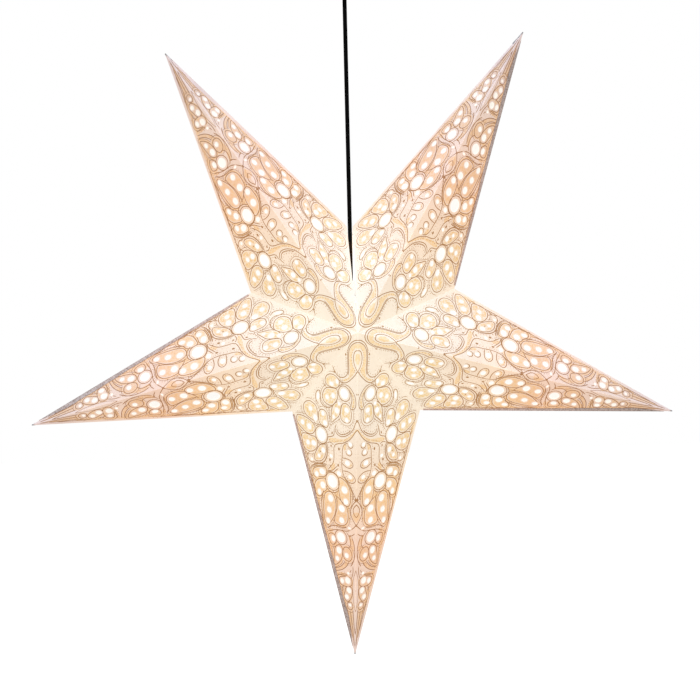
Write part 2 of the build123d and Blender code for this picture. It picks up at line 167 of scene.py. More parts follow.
# Ochre areas outside the petals.
FILLS = [
    # the hub loop's ribbon and the drop inside it
    [(11, -2), (12.2, 4), (15.5, 8), (21, 10.3), (28, 10.7), (36, 10.2), (42, 9.8), (46.6, 11.6),
     (49.4, 15), (51, 19.5), (52.4, 19), (51.8, 14.6), (48, 9.6), (43, 5.6), (38.6, 3.2), (33, 6.4),
     (26, 7.4), (20, 6.4), (16.2, 3.4), (15.0, -2)],
    [(20.5, -2), (21.6, 1.6), (25, 3.2), (29, 2.8), (33, -2)],
    # the first flower's cap
    [(56.8, 12.6), (59.6, 8), (64.2, 4.8), (70, 3.2), (75, 3.8), (76.6, 6.8), (72, 6), (67, 5.6),
     (62.6, 7.2), (59.4, 10)],
    # the arch
    [(96.4, 1.4), (101, 4.6), (106, 9.6), (110, 16), (111.6, 22.5), (112.2, 28.6), (113.2, 34.4),
     (115.6, 37), (117.2, 33.4), (116.4, 28.4), (114.6, 21.8), (112.0, 15.2), (107.4, 8.6), (102, 4.2),
     (97.4, 0.4)],
    # sprig leaves
    [(114.6, 13), (118, 13.4), (121.4, 15.6), (118.6, 17), (115.8, 15.6)],
    [(130.6, 9), (132.4, 6.4), (135.0, 6.4), (136.4, 9.4), (136.2, 13), (134.8, 8.8), (132.6, 7.8)],
    [(144.2, 5.8), (147.6, 3.2), (150.2, 5.2), (150.6, 9.4), (148.8, 13.4), (149, 9), (147.4, 5.6)],
    [(136.4, 30), (140, 27.6), (144, 30), (145.6, 33), (141, 32.2)],
    # diamond on the ridge
    [(180.6, -2), (181.4, 3), (184.6, 5), (188.6, 3), (191.4, -2)],
    # beside the side fold
    [(166.6, 47), (176, 47.6), (184, 48.4), (191, 47), (183, 51.6), (172, 55.4)],
    [(205.8, 28.6), (208, 32), (209.6, 36), (207.6, 37), (205, 33)],
    [(283, 3.2), (290, 2.8), (302, 1.8), (316, 0.8), (306, 3.8), (294, 7.4), (284, 9.6)],
    # bands of the fourth flower
    [(206, 9.6), (208, 4.6), (214, 2.6), (222, 3.4), (228, 7), (222, 9.6), (216, 7)],
    [(225.5, 7.6), (233, 9.4), (240, 14), (244.4, 22), (244.8, 25), (240.6, 19), (235, 13.4),
     (229, 11.2)],
    [(229, 16.8), (235.5, 17.6), (241, 21.8), (243, 26), (237, 22.6), (232, 19)],
    [(212, 34.6), (222, 30.8), (234, 29.0), (242, 25.4), (240, 28.4), (228, 33), (215, 37)],
    [(246, 10), (248.4, 13), (249.8, 19), (249, 24.4), (246.8, 25), (246.2, 17)],
    # between the third flower's petals
    [(165.6, 23.4), (170, 19.6), (173.4, 23.6), (168.4, 28.6)],
    [(177.4, 10.4), (184, 8.4), (192, 8.6), (186, 9.8), (180, 12.4)],
    [(262, 14.4), (268, 15.6), (276, 12.6), (284, 9.6), (279, 13.4), (268, 18)],
    # along the side fold of the outer half
    [(196, 42.4), (210, 37), (230, 29.4), (250, 22.2), (270, 14.8), (285, 9.4), (284, 12.4), (268, 18.8),
     (248, 26.6), (228, 34.2), (208, 42), (197, 46)],
    # beside the notch
    [(112.6, 75.4), (116, 74), (122, 74.2), (117, 77.4), (110, 80)],
]

# Lines: open strokes of brown ink.
LINES = [
    # hub loop, and the ribbon's inner line from where it crosses the ridge
    [(7.3, -2), (7.6, 1.5), (9.5, 5.5), (13, 9.5), (18, 12.2), (24, 13), (32, 12.8), (40, 12.4),
     (45, 13.8), (48.3, 17.5), (49.4, 22), (48.3, 26.5), (45, 30), (40.4, 32.8)],
    [(9.6, -2), (10, 1.5), (11.8, 5), (15, 8.6), (19.4, 11), (25, 11.8), (32, 11.6), (40, 11.2),
     (45, 12.2)],
    [(17.6, -2), (18, 1.5), (20, 3.9), (24, 5.3), (28.5, 5.4), (33, 4.0), (36.5, 1.8), (40, -1.4)],
    [(36.5, -1.8), (40, 1.2), (43.4, 3.6), (47, 7), (50.6, 10.8), (53, 14.6), (54, 18.6), (53.2, 22.4),
     (50.8, 26)],
    # first flower
    [(55, 16.5), (56, 11), (59, 6.8), (63.5, 3.4), (69, 1.8), (74.5, 2.2), (77.8, 5), (77.6, 8.4)],
    [(60.2, 9.6), (63.5, 7.6), (68, 6.8), (72.5, 7.6), (76.3, 8.8)],
    [(55, 16.5), (56.2, 20.6), (59.2, 24)],
    [(80.6, 31.8), (83, 36), (84, 41), (82.6, 45.6), (79.6, 48.2), (73.6, 48.4), (69.4, 50.2),
     (71.4, 53.6), (76, 54.8), (80.4, 54), (83, 50.6)],
    # arch
    [(86.6, -2), (90, 1.6), (95, 3.6), (100, 6.6), (104.4, 11), (107.4, 16.4), (108.4, 21.5),
     (106.8, 26), (102.6, 28.2), (97.4, 26.6)],
    [(95.0, -2), (100, 2.4), (105.4, 6), (110.4, 11), (114, 16.6), (116, 22.5), (118.4, 27.4),
     (122, 29.4), (129, 29.2), (135.6, 29.6), (141, 32.6), (145.6, 36.6)],
    [(99, 7.6), (102.6, 11.4), (105.4, 16.6), (106.4, 21), (105, 24.6), (101.6, 26)],
    [(103, 29.4), (108.6, 29.6), (111.0, 31.8), (112.6, 36), (114.6, 38.4), (119.6, 39.4)],
    [(119.0, 30), (117.6, 34.6), (119.6, 38.6)],
    # sprigs
    [(112.6, 11.4), (116, 16.4), (121, 18.2), (128, 18.6), (135, 19), (141, 18.4), (146, 16.8),
     (150, 14.2), (154, 10.0), (158.6, 6.0), (163.6, 2.8), (170, -2)],
    [(110.4, 9), (112, 5.4), (115.4, 5.2), (117.2, 8), (116, 11), (112.6, 11.4)],
    [(118.4, 11.6), (119, 7.6), (122.2, 6.2), (125, 8.6), (124.6, 12.6), (121.4, 14.2)],
    [(129.4, 18.4), (129, 13), (129.4, 8.4), (131.6, 5.2), (134.8, 4.8), (137.2, 7.6), (137.8, 12),
     (136.4, 16), (134.6, 18.8)],
    [(142.4, 17.8), (141.6, 12), (142.4, 7), (145.2, 2.8), (148.6, 1.4), (151.4, 3.8), (152.2, 8.6),
     (150.2, 13), (146.8, 16.4)],
    [(139.4, 24.8), (142.4, 28), (145.2, 31), (146.6, 35), (147.4, 38.4)],
    [(141.4, 23.4), (144.6, 27), (147.2, 29.6)],
    # second flower
    [(104.8, 40.4), (103.4, 45), (104.2, 50.6), (107, 54.4)],
    [(119.6, 39.4), (122.4, 44), (123.4, 49), (121.2, 51.6)],
    [(119.6, 39.4), (127, 38.2), (134, 39.4), (139.6, 42.6), (142.4, 47.6), (143.4, 53)],
    [(134.4, 62), (138, 64.6), (142.6, 63.6), (144.4, 59.6), (143.2, 54.4)],
    [(141.4, 38.6), (142.6, 46), (144.8, 53.6), (148, 58.8), (152.4, 62)],
    [(143.6, 39.6), (144.2, 45.6), (146.2, 52.6), (149.4, 57.4)],
    # third flower
    [(163.6, 22.8), (166.8, 27), (167.8, 32), (166.2, 37.4), (162.8, 40.8)],
    [(150.6, 22.6), (148.2, 26.4), (147.0, 31), (147.8, 36), (150.2, 39.2)],
    [(149.0, 14.6), (153, 10.8), (158, 7.2), (163.4, 4.6), (168.4, 3.6)],
    [(168.6, 42.6), (175, 45.0), (183, 45.6), (190, 44.8), (196, 43.4)],
    [(155.6, 58), (161, 57.6), (168, 57)],
    # diamond on the ridge
    [(166.4, -2), (170, 1.6), (174.4, 5), (179.6, 7), (184.6, 6.6), (189, 4), (192.8, 0.8), (196, -2)],
    [(170.6, -2), (175, 2.2), (179, 4), (183.4, 2.4), (186.6, -2)],
    # between the third and fourth flowers
    [(191.4, -2), (196, 2.4), (200, 7), (202.6, 13), (203.4, 20), (205, 27.6), (208.4, 34.6)],
    [(198.0, 11.8), (199.8, 17.6), (200.2, 24.6), (202, 31.4), (206, 37.6)],
    [(202.4, 1.6), (205.4, 5.4), (207, 9.6)],
    # fourth flower
    [(203.6, 12.6), (207, 8.6), (212, 6.6), (217, 7.4), (219.4, 10.6)],
    [(207, 5.4), (212, 3), (218, 1.6), (225, 1.4), (231.6, 3.2), (237.4, 6.6)],
    [(232.8, 8.6), (238, 11.6), (242.6, 16.6), (245.4, 22.4), (246.6, 26)],
    [(233.4, 13.6), (238.2, 17), (242, 22), (243.8, 27)],
    [(240.4, 5.6), (246, 9.2), (248.4, 15), (249.2, 20.6), (249.6, 24)],
    [(236, 3.6), (242.6, 3.4), (249.6, 5.4)],
    # end of the point
    [(281, 3.2), (290, 2.2), (300, 1.0), (308, -1)],
    [(283, 6.4), (293, 4.6), (304, 2.6), (318, 0.8)],
    [(279, 11.6), (288, 8.8), (298, 6.2), (310, 3.0)],
    [(274, 15.4), (284, 12.0), (293, 8.8), (303, 5.4)],
    # along the side fold
    [(118, 74.6), (130, 70.4), (142, 66), (154, 61.4), (168, 56.4), (184, 50.6), (200, 44.6), (214, 39)],
    [(134, 68), (139, 64.8), (146, 64.6), (150, 61.6)],
    [(156, 59.6), (163, 58.6), (170, 54.2), (179, 53.8)],
    [(180, 49.4), (188, 48.6), (195, 44.6), (204, 43.2)],
    [(258.6, 15.4), (262.4, 17.4), (266.4, 16.6)],
]

# The plain lens on the ridge, near the end of the point.
LENS = [(238, -3), (246, 2.0), (254, 3.4), (264, 3.2), (274, 2.0), (286, -3)]

# Printed dots: centre and radius.
DOTS = [
    (25.2, 15.6, 1.2), (62.4, 42.4, 1.2), (107.6, 32.0, 1.2), (121.6, 22.8, 1.6), (138.2, 23.6, 1.5),
    (121.0, 33.2, 1.2), (135.6, 34.6, 1.6), (168.0, 1.0, 1.8), (168.0, 4.8, 0.9), (193.6, 0.2, 1.3),
    (188.4, 8.2, 0.8), (178.4, 9.4, 0.8), (61.6, 0.8, 0.9), (88.0, 0.6, 1.2), (141.6, 34.0, 0.9),
    (206.0, 7.6, 0.9), (195.8, 28.6, 0.9), (130.6, 47.4, 0.9), (46.0, 30.6, 1.0),
]


# ---------------------------------------------------------------- camera and cord

CAMERA_AZIMUTH = math.radians(-3.63)
CAMERA_ELEVATION = math.radians(4.39)
CAMERA_ROLL = math.radians(-1.335)
CAMERA_DISTANCE = 4.09
CAMERA_LENS = 222.6
CAMERA_SHIFT = (-0.0030, -0.0343)

CORD_RADIUS = 0.002
CORD_ROUTE = [(0, 0, -0.353), (0, 0, -0.180), (0, 0, -0.007)]
# Below this height, inside the lantern, the flex is painted as lit by the bulb.
LIT_FLEX_TOP = -0.299


def add_object(name, data):
    item = bpy.data.objects.new(name, data)
    bpy.context.scene.collection.objects.link(item)
    return item


def add_piece(name, data, body, slot, *replaced):
    """A visible piece that rides on a body, standing for the CAD nodes it hides; the slot argument is not
    used.
    """
    piece = add_object(name, data)
    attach(piece, body)
    if replaced:
        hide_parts(*replaced)
    return piece


def make_camera():
    """A long lens, a little to the star's left and above it, leaning slightly."""
    level = math.cos(CAMERA_ELEVATION)
    back = Vector((
        math.sin(CAMERA_AZIMUTH) * level,
        -math.cos(CAMERA_AZIMUTH) * level,
        math.sin(CAMERA_ELEVATION),
    ))
    right = Vector((0, 0, 1)).cross(back).normalized()
    up = back.cross(right)
    leaning_right = right * math.cos(CAMERA_ROLL) + up * math.sin(CAMERA_ROLL)
    leaning_up = back.cross(leaning_right)
    data = bpy.data.cameras.new("camera")
    data.lens = CAMERA_LENS
    data.shift_x, data.shift_y = CAMERA_SHIFT
    camera = add_object("camera", data)
    axes = Matrix((leaning_right, leaning_up, back)).transposed().to_4x4()
    camera.matrix_world = Matrix.Translation(HUB + back * CAMERA_DISTANCE) @ axes
    bpy.context.scene.camera = camera


def make_cord(material):
    """The black flex, pulled straight by the lantern, from its grip up to the ceiling clamp."""
    data = bpy.data.curves.new("flex", "CURVE")
    data.dimensions = "3D"
    spline = data.splines.new("NURBS")
    spline.points.add(len(CORD_ROUTE) - 1)
    for point, place in zip(spline.points, CORD_ROUTE):
        point.co = (*place, 1)
    spline.order_u = 3
    spline.use_endpoint_u = True
    data.bevel_depth = CORD_RADIUS
    data.bevel_resolution = 6
    data.use_fill_caps = True
    data.materials.append(material)
    flex = add_piece("flex", data, "ceiling", "black_cord", "cord")


# ---------------------------------------------------------------- materials


class Material:
    """A material's node tree, with short calls that add nodes and return their output sockets."""

    def __init__(self, name):
        self.data = bpy.data.materials.new(name)
        self.data.use_nodes = True
        self.tree = self.data.node_tree
        self.shader = self.tree.nodes["Principled BSDF"]

    def add(self, kind, inputs, output=0, **settings):
        node = self.tree.nodes.new(kind)
        for key, value in settings.items():
            setattr(node, key, value)
        for key, value in inputs.items():
            self.feed(node.inputs[key], value)
        return node.outputs[output]

    def feed(self, socket, value):
        if isinstance(value, bpy.types.NodeSocket):
            self.tree.links.new(value, socket)
        else:
            socket.default_value = value

    def set(self, **inputs):
        for key, value in inputs.items():
            self.feed(self.shader.inputs[key.replace("_", " ")], value)

    def coordinates(self, kind):
        return self.add("ShaderNodeTexCoord", {}, kind)

    def math(self, operation, a, b=0.0, c=0.0):
        return self.add("ShaderNodeMath", {0: a, 1: b, 2: c}, operation=operation)

    def scaled(self, value, low, high, to_low, to_high):
        return self.add("ShaderNodeMapRange", {0: value, 1: low, 2: high, 3: to_low, 4: to_high})

    def spread(self, noise, to_low, to_high):
        """A noise's usual range, 0.3 to 0.7, stretched to run between two values."""
        return self.scaled(noise, 0.3, 0.7, to_low, to_high)

    def grey(self, tone):
        return self.add("ShaderNodeCombineColor", {0: tone, 1: tone, 2: tone})

    def noise(self, vector, scale, detail=3.0, roughness=0.55):
        inputs = {"Vector": vector, "Scale": scale, "Detail": detail, "Roughness": roughness}
        return self.add("ShaderNodeTexNoise", inputs)

    def stretched(self, vector, scale):
        return self.add("ShaderNodeVectorMath", {0: vector, 1: scale}, operation="MULTIPLY")

    def mix(self, factor, a, b, blend="MIX"):
        inputs = {0: factor, 6: a, 7: b}
        return self.add("ShaderNodeMix", inputs, 2, data_type="RGBA", blend_type=blend)

    def ramp(self, factor, stops):
        node = self.tree.nodes.new("ShaderNodeValToRGB")
        elements = node.color_ramp.elements
        while len(elements) < len(stops):
            elements.new(0.5)
        for element, (place, colour) in zip(elements, stops):
            element.position = place
            element.color = (*colour, 1)
        self.feed(node.inputs[0], factor)
        return node.outputs[0]

    def bump(self, height, distance, strength=1.0):
        inputs = {"Height": height, "Distance": distance, "Strength": strength}
        self.set(Normal=self.add("ShaderNodeBump", inputs))


def rgba(colour):
    return (*colour, 1)


# Light that comes through the paper: share of the star's reach from the bulb, and its colour.
GLOW_REACH = 0.32
GLOW = [
    (0.26, (0.78, 0.61, 0.42)),
    (0.33, (0.78, 0.57, 0.37)),
    (0.42, (0.77, 0.52, 0.30)),
    (0.58, (0.74, 0.43, 0.25)),
    (0.79, (0.64, 0.41, 0.27)),
    (0.97, (0.54, 0.35, 0.28)),
]
TISSUE_GLOW = [
    (0.26, (0.82, 0.80, 0.78)),
    (0.42, (0.82, 0.80, 0.76)),
    (0.58, (0.82, 0.79, 0.73)),
    (0.79, (0.80, 0.76, 0.67)),
    (0.97, (0.74, 0.67, 0.57)),
]
PRINT_SCALE = 400.0
PAPER_REFLECTS = (0.38, 0.46, 0.52)


def glow_at(shader, stops):
    """The colour of the light through a sheet, by distance from the middle of the glow inside the star."""
    place = shader.coordinates("Object")
    away = shader.add("ShaderNodeVectorMath", {0: place, 1: GLOW_CENTRE}, "Value", operation="DISTANCE")
    return shader.ramp(shader.math("DIVIDE", away, GLOW_REACH), stops)


# The folds' mask: the paper is painted lighter there, partly wear and partly a painted highlight on the
# rounded creases.
def crease_wear_and_highlight(shader):
    """From 1 on a fold to 0 a millimetre away, for the ridge, the valley and the side fold."""
    print_place = shader.add("ShaderNodeSeparateXYZ", {0: shader.coordinates("UV")})
    along = shader.math("MULTIPLY", print_place, PRINT_SCALE)
    across = shader.math("MULTIPLY", print_place.node.outputs[1], PRINT_SCALE)
    valley_tilt = math.atan2(NOTCH_V, NOTCH_U)
    side_tilt = math.atan2(NOTCH_V, RIDGE_LENGTH - NOTCH_U)
    in_valley = shader.math("SUBTRACT", shader.math("MULTIPLY", along, math.sin(valley_tilt)),
                            shader.math("MULTIPLY", across, math.cos(valley_tilt)))
    to_tip = shader.math("SUBTRACT", RIDGE_LENGTH, along)
    in_side = shader.math("SUBTRACT", shader.math("MULTIPLY", to_tip, math.sin(side_tilt)),
                          shader.math("MULTIPLY", across, math.cos(side_tilt)))
    nearest = shader.math("MINIMUM", shader.math("MINIMUM", in_valley, in_side), across)
    return shader.scaled(nearest, 0.1, 1.0, 1.0, 0.0)


def printed_paper(name, reflects, passes, speck_share, patchy):
    """Lit printed paper: ink specks, fibre and cloud, lighter at the folds from wear and a painted
    highlight, with the lamp behind it.
    """
    shader = Material(name)
    place = shader.coordinates("Object")
    cloud = shader.noise(place, 28.0, 3.0)
    fibre = shader.noise(shader.stretched(place, (1.0, 1.0, 0.35)), 1400.0, 4.0, 0.7)
    tone = shader.math("ADD", shader.spread(cloud, 0.96, 1.04),
                       shader.spread(fibre, -0.035, 0.035))
    worn_and_highlit = shader.math("MULTIPLY", crease_wear_and_highlight(shader), shader.scaled(cloud, 0.4, 0.65, 0.0, 0.35))
    # Lighter along the folds: wear, and a painted highlight on the creases.
    surface = shader.mix(worn_and_highlit, rgba(reflects), (0.78, 0.76, 0.74, 1))
    light = shader.mix(1.0, glow_at(shader, GLOW), rgba(passes), "MULTIPLY")
    prints = shader.stretched(shader.coordinates("UV"), (PRINT_SCALE, PRINT_SCALE, 0.0))
    thin = shader.scaled(shader.noise(prints, 0.42, 4.0, 0.6), 0.44, 0.60, 0.0, patchy)
    surface = shader.mix(thin, surface, rgba(PAPER_REFLECTS))
    light = shader.mix(thin, light, glow_at(shader, GLOW))
    cells = shader.add("ShaderNodeTexVoronoi", {"Vector": prints, "Scale": 0.62, "Randomness": 1.0})
    dot = shader.scaled(cells, 0.14, 0.26, 1.0, 0.0)
    patch = shader.scaled(shader.noise(prints, 0.11, 3.0), 0.42, 0.58, 0.1, speck_share)
    specks = shader.math("MULTIPLY", dot, patch)
    surface = shader.mix(specks, surface, (0.34, 0.20, 0.12, 1))
    light = shader.mix(specks, light, (0.20, 0.10, 0.05, 1))
    scale = shader.grey(tone)
    shader.set(Base_Color=shader.mix(1.0, surface, scale, "MULTIPLY"))
    shader.set(Emission_Color=shader.mix(1.0, light, scale, "MULTIPLY"), Emission_Strength=1.0)
    shader.set(Roughness=shader.spread(fibre, 0.62, 0.85))
    shader.bump(shader.math("ADD", fibre, shader.math("MULTIPLY", worn_and_highlit, 1.5)), 0.00012, 0.7)
    return shader.data


def tissue():
    """Thin white tissue behind the cut-outs, bright with the lamp's light, with long soft fibres."""
    shader = Material("tissue")
    place = shader.coordinates("Object")
    strands = shader.noise(shader.stretched(place, (1.0, 1.0, 0.12)), 900.0, 5.0, 0.75)
    cloud = shader.noise(place, 60.0, 2.0)
    tone = shader.math("ADD", shader.spread(strands, 0.95, 1.03),
                       shader.spread(cloud, -0.03, 0.03))
    scale = shader.grey(tone)
    shader.set(Base_Color=shader.mix(1.0, (0.40, 0.40, 0.40, 1), scale, "MULTIPLY"))
    shader.set(Emission_Color=shader.mix(1.0, glow_at(shader, TISSUE_GLOW), scale, "MULTIPLY"))
    shader.set(Emission_Strength=1.0, Roughness=shader.spread(strands, 0.7, 0.9))
    shader.bump(strands, 0.0001, 0.5)
    return shader.data


TAB_LIGHT = [
    (0.30, (0.34, 0.19, 0.13)),
    (0.50, (0.30, 0.17, 0.12)),
    (0.75, (0.22, 0.13, 0.09)),
    (0.97, (0.15, 0.09, 0.06)),
]


def tab_paper():
    """The glue tab: two sheets thick, lit a little through, veined, dark along both edges."""
    shader = Material("tab_paper")
    place = shader.coordinates("Object")
    cloud = shader.noise(place, 90.0, 3.0)
    fibre = shader.noise(place, 1300.0, 4.0, 0.7)
    strip = shader.add("ShaderNodeSeparateXYZ", {0: shader.coordinates("UV")})
    across = strip.node.outputs[1]
    colour = shader.ramp(strip, [
        (0.0, (0.56, 0.50, 0.48)),
        (0.5, (0.54, 0.51, 0.50)),
        (1.0, (0.50, 0.49, 0.49)),
    ])
    colour = shader.mix(shader.scaled(cloud, 0.4, 0.65, 0.0, 0.5), colour, (0.60, 0.53, 0.50, 1))
    marbling = shader.noise(shader.stretched(place, (1.0, 0.4, 1.0)), 330.0, 4.0, 0.6)
    from_middle = shader.math("ABSOLUTE", shader.math("SUBTRACT", marbling, 0.5))
    vein = shader.scaled(from_middle, 0.01, 0.05, 0.6, 0.0)
    grain = shader.scaled(shader.noise(place, 800.0, 2.0), 0.42, 0.6, 0.25, 0.9)
    outer_line = shader.scaled(across, 0.06, 0.16, 0.8, 0.0)
    inner_line = shader.scaled(across, 0.86, 0.95, 0.0, 0.7)
    edges = shader.math("MULTIPLY", shader.math("MAXIMUM", outer_line, inner_line), grain)
    dark = shader.math("MAXIMUM", edges, vein)
    colour = shader.mix(dark, colour, (0.17, 0.11, 0.09, 1))
    shader.set(Base_Color=colour, Roughness=shader.spread(fibre, 0.65, 0.85))
    passes = shader.mix(dark, (1, 1, 1, 1), (0.2, 0.15, 0.1, 1))
    shader.set(Emission_Color=shader.mix(1.0, glow_at(shader, TAB_LIGHT), passes, "MULTIPLY"))
    shader.set(Emission_Strength=1.0)
    shader.bump(fibre, 0.00012, 0.7)
    return shader.data


def tip_paper():
    """The glued end of a point: grey opaque layers with darker layer lines."""
    shader = Material("tip_paper")
    place = shader.coordinates("Object")
    fibre = shader.noise(place, 1100.0, 4.0, 0.7)
    cloud = shader.noise(place, 150.0, 3.0)
    colour = shader.ramp(shader.spread(cloud, 0.0, 1.0), [
        (0.0, (0.30, 0.27, 0.26)),
        (0.5, (0.42, 0.39, 0.37)),
        (1.0, (0.55, 0.52, 0.50)),
    ])
    shader.set(Base_Color=colour, Roughness=shader.spread(fibre, 0.6, 0.85))
    shader.bump(shader.math("ADD", fibre, cloud), 0.0002, 0.8)
    return shader.data


def moulded(name, colour, roughness, specks, gloss=0.5, scale=220.0):
    """A moulded or cast surface: its colour drifts, its gloss is uneven, and it is finely pitted."""
    shader = Material(name)
    place = shader.coordinates("Object")
    cloud = shader.noise(place, scale / 5, 3.0)
    grain = shader.noise(place, scale * 6, 3.0, 0.7)
    drift = shader.spread(cloud, 0.0, 1.0)
    darker = tuple(channel * (1 - specks) for channel in colour)
    shader.set(Base_Color=shader.mix(drift, rgba(colour), rgba(darker)))
    rough = shader.math("ADD", shader.spread(cloud, roughness * 0.8, roughness * 1.2),
                        shader.spread(grain, -0.04, 0.04))
    shader.set(Roughness=rough, Specular_IOR_Level=gloss)
    shader.bump(grain, 0.00008, 0.6)
    return shader.data


def brushed(name, colour, roughness, turned=True):
    """Drawn or turned metal: fine rings or lines, with dull patches from handling."""
    shader = Material(name)
    place = shader.coordinates("Object")
    grain_axis = (1.0, 1.0, 30.0) if turned else (1.0, 30.0, 1.0)
    lines = shader.noise(shader.stretched(place, grain_axis), 160.0, 3.0)
    cloud = shader.noise(place, 70.0, 3.0)
    darker = tuple(channel * 0.78 for channel in colour)
    shader.set(Base_Color=shader.mix(shader.scaled(cloud, 0.35, 0.7, 0.0, 1.0), rgba(colour), rgba(darker)))
    shader.set(Metallic=1.0)
    shader.set(Roughness=shader.math("ADD", shader.spread(lines, roughness * 0.7, roughness * 1.3),
                                     shader.spread(cloud, -0.05, 0.08)))
    shader.bump(lines, 0.00006, 0.5)
    return shader.data


def flex_sheath():
    """Braided black flex, dull with dust and scuffs; inside the lantern it is painted brown, with painted
    gold glints and a painted warm glow for the lamp's light.
    """
    shader = Material("flex_sheath")
    place = shader.coordinates("Object")
    scuff = shader.noise(shader.stretched(place, (1.0, 1.0, 0.2)), 420.0, 4.0, 0.65)
    braid = shader.add("ShaderNodeTexVoronoi", {"Vector": shader.stretched(place, (1.0, 1.0, 0.7)),
                                                "Scale": 620.0, "Randomness": 0.35})
    # Painted lamplight: below LIT_FLEX_TOP the sheath is painted brown, with gold glints on the braid cells
    # and a warm emission, for the bulb's light.
    height = shader.add("ShaderNodeSeparateXYZ", {0: place}, 2)
    inside = shader.scaled(height, LIT_FLEX_TOP, LIT_FLEX_TOP - 0.002, 0.0, 1.0)
    glint = shader.math("MULTIPLY", inside, shader.scaled(braid, 0.10, 0.25, 1.0, 0.0))
    dusty = shader.scaled(scuff, 0.5, 0.75, 0.0, 1.0)
    black = shader.mix(dusty, (0.001, 0.001, 0.001, 1), (0.004, 0.004, 0.004, 1))
    brown = shader.mix(glint, (0.012, 0.005, 0.002, 1), (0.12, 0.06, 0.02, 1))
    shader.set(Base_Color=shader.mix(inside, black, brown))
    shader.set(Emission_Color=shader.mix(glint, (0, 0, 0, 1), (0.40, 0.18, 0.04, 1)), Emission_Strength=0.5)
    shader.set(Roughness=shader.spread(scuff, 0.7, 0.9), Specular_IOR_Level=0.08)
    shader.bump(braid, 0.00012, 0.5)
    return shader.data


def clear_glass():
    """Thin clear bulb glass, with a faint warm film and drawn streaks."""
    shader = Material("clear_bulb_glass")
    place = shader.coordinates("Object")
    streaks = shader.noise(shader.stretched(place, (1.0, 1.0, 0.2)), 120.0, 3.0)
    shader.set(Base_Color=shader.mix(shader.spread(streaks, 0.0, 1.0),
                                     (1.0, 0.98, 0.93, 1), (0.97, 0.94, 0.88, 1)))
    shader.set(Roughness=shader.spread(streaks, 0.02, 0.08))
    shader.set(Transmission_Weight=1.0, IOR=1.15)
    shader.bump(streaks, 0.0001, 0.3)
    return shader.data


def lit_filament():
    """The lit filaments: phosphor-coated rods, unevenly bright along their length."""
    shader = Material("lit_filament")
    place = shader.coordinates("Object")
    beads = shader.noise(shader.stretched(place, (0.2, 0.2, 1.0)), 900.0, 2.0)
    hot = shader.scaled(beads, 0.35, 0.65, 0.0, 1.0)
    bright = shader.mix(hot, (1.0, 0.62, 0.25, 1), (1.0, 0.80, 0.45, 1))
    shader.set(Base_Color=bright, Emission_Color=bright, Emission_Strength=6.0)
    shader.set(Roughness=shader.spread(beads, 0.4, 0.7))
    shader.bump(beads, 0.0002, 0.6)
    return shader.data


def cotton_thread():
    """Natural cotton, twisted, with a fuzzy surface."""
    shader = Material("cotton_thread")
    place = shader.coordinates("Object")
    fuzz = shader.noise(place, 2600.0, 4.0, 0.75)
    shader.set(Base_Color=shader.mix(shader.spread(fuzz, 0.0, 1.0),
                                     (0.55, 0.49, 0.40, 1), (0.78, 0.73, 0.64, 1)))
    shader.set(Roughness=shader.spread(fuzz, 0.8, 0.95), Sheen_Weight=0.3)
    shader.bump(fuzz, 0.0002, 0.9)
    return shader.data


# ---------------------------------------------------------------- printed panels

# All in millimetres on the flat sheet, except the shares, the steps and the bow.
INK_WIDTH = 0.85
THIN_INK = 0.52
CURVE_STEP = 2.0
LINE_END_THINNING = 5
LEAST_TURN = 1e-4
CUT_TOLERANCE = 1e-5

# Die-cut holes, each with a plain rim.
HOLE_RIM = 1.1
HOLE_SHARE = 0.86
BIG_HOLE_SHARE = 0.96
BIG_HOLE = 5.0
HOLE_STEPS = 18
RING_STEPS = 26

# Petals: a fill inside the line, and outside it a halo on the outer half, an echo line and dots.
FILL_INSET = 1.5
END_FILL_INSET = 0.8
END_FROM = 203.0
ECHO = 2.7
ECHO_TO_DOTS = 1.5
HALO = 1.6
HALO_FROM = 150.0
DOTS_CLEAR = 1.0
RIDGE_CLEAR = 0.8
SIDE_CLEAR = 2.2

# Small dots, round the petals and beside the lines of the inner half.
DOT_SPACING = 2.0
DOT_RADIUS = 0.45
DOT_STEPS = 6
STIPPLE_OFFSET = 2.4
STIPPLE_TO = 150.0
PRINTED_DOT_STEPS = 10
PRINTED_DOT_FLATNESS = 0.7

# Points that let the sheet bow, the search squares, and the bow itself in metres.
GRID_STEP = 9.0
CELL = 3.0
BOW = 0.0008
BOW_SCALE = 27


def smooth(points, closed):
    """A rounded line through the points, with a new point about every CURVE_STEP."""
    count = len(points)
    places = [Vector(point) for point in points]
    spans = count if closed else count - 1
    line = []
    for span in range(spans):
        start = places[span]
        end = places[(span + 1) % count]
        if closed or span > 0:
            before = places[span - 1]
        else:
            before = 2 * start - end
        if closed or span + 2 < count:
            after = places[(span + 2) % count]
        else:
            after = 2 * end - start
        steps = max(2, round((end - start).length / CURVE_STEP))
        for step in range(steps):
            t = step / steps
            line.append(0.5 * (2 * start + (end - before) * t
                               + (2 * before - 5 * start + 4 * end - after) * t * t
                               + (3 * start - before - 3 * end + after) * t ** 3))
    if not closed:
        line.append(places[-1])
    return line


def ellipse(centre, half_u, half_v, steps):
    angles = [2 * math.pi * step / steps for step in range(steps)]
    return [Vector((centre[0] + half_u * math.cos(a), centre[1] + half_v * math.sin(a))) for a in angles]


def inset(loop, amount):
    """A closed line moved towards its middle by about the amount."""
    middle = sum(loop, Vector((0, 0))) / len(loop)
    moved = []
    for place in loop:
        inwards = middle - place
        moved.append(place + inwards.normalized() * min(amount, inwards.length / 2))
    return moved


